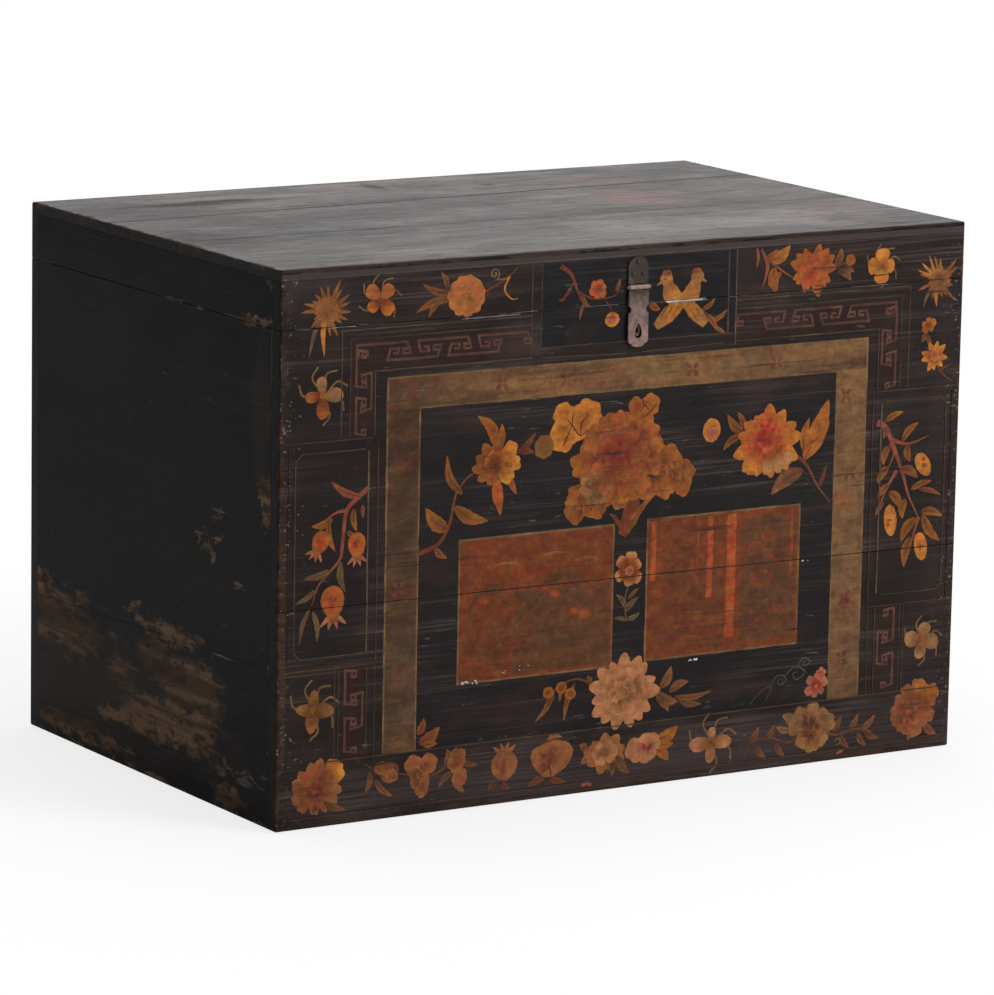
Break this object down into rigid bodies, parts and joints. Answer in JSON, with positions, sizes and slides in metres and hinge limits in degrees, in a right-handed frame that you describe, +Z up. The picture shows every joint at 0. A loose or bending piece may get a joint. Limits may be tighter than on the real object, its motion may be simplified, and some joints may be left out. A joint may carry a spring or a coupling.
{
  "type": "painted wooden storage chest",
  "caption": "Box-shaped storage chest of edge-joined lacquered boards with a hinged cap lid, iron butt hinges behind, a slotted iron hasp, and a painted floral front.",
  "frame": {"origin": "centre of the bounding box's bottom face, on the floor under the chest", "axes": "+X along the front towards its right end as one faces it, +Y from front to back, +Z up"},
  "size_m": [0.9, 0.5972, 0.616],
  "materials": {
    "painted_lacquer": "aged black-brown lacquer over softwood, painted with flowers, bands and frets, worn along the grain",
    "black_lacquer": "aged black lacquer over softwood, scuffed, worn through to brown wood low on the left",
    "worn_top_lacquer": "thin dark lacquer worn grey-brown on the lid's planks, satin to glossy",
    "bare_wood": "unfinished softwood, darkened by age",
    "forged_iron": "forged iron with a brown patina, rubbed at the edges"
  },
  "bodies": {
    "case": {"front_board_lower": "painted_lacquer", "front_board_upper": "painted_lacquer", "back_board_lower": "black_lacquer", "back_board_upper": "black_lacquer", "left_board_foot": "black_lacquer", "left_board_lower": "black_lacquer", "left_board_upper": "black_lacquer", "right_board_lower": "black_lacquer", "right_board_upper": "black_lacquer", "floor_plank_front": "bare_wood", "floor_plank_middle": "bare_wood", "floor_plank_rear": "bare_wood", "hasp_staple": "forged_iron", "case_hinge_leaf_left": "forged_iron", "hinge_pin_left": "forged_iron", "case_hinge_nail_left_1": "forged_iron", "case_hinge_nail_left_2": "forged_iron", "case_hinge_nail_left_3": "forged_iron", "case_hinge_leaf_right": "forged_iron", "hinge_pin_right": "forged_iron", "case_hinge_nail_right_1": "forged_iron", "case_hinge_nail_right_2": "forged_iron", "case_hinge_nail_right_3": "forged_iron"},
    "lid": {"top_plank_front": "worn_top_lacquer", "top_plank_middle": "worn_top_lacquer", "top_plank_rear": "worn_top_lacquer", "lid_front_rail": "painted_lacquer", "lid_back_rail": "black_lacquer", "lid_left_rail": "black_lacquer", "lid_right_rail": "black_lacquer", "lid_batten_left": "bare_wood", "lid_batten_right": "bare_wood", "hasp_leaf": "forged_iron", "hasp_pin": "forged_iron", "hasp_nail_1": "forged_iron", "hasp_nail_2": "forged_iron", "hasp_nail_3": "forged_iron", "lid_hinge_leaf_left": "forged_iron", "lid_hinge_nail_left_1": "forged_iron", "lid_hinge_nail_left_2": "forged_iron", "lid_hinge_nail_left_3": "forged_iron", "lid_hinge_leaf_right": "forged_iron", "lid_hinge_nail_right_1": "forged_iron", "lid_hinge_nail_right_2": "forged_iron", "lid_hinge_nail_right_3": "forged_iron"},
    "hasp": {"hasp_strap": "forged_iron"}
  },
  "joints": [
    {"name": "lid_hinge", "type": "hinge", "parent": "case", "child": "lid", "pos_m": [0, 0.29455, 0.551], "axis": [-1, 0, 0], "range_deg": [0, 105]},
    {"name": "hasp_hinge", "type": "hinge", "parent": "lid", "child": "hasp", "pos_m": [0.0025, -0.29535, 0.57], "axis": [-1, 0, 0], "range_deg": [0, 165]}
  ]
}
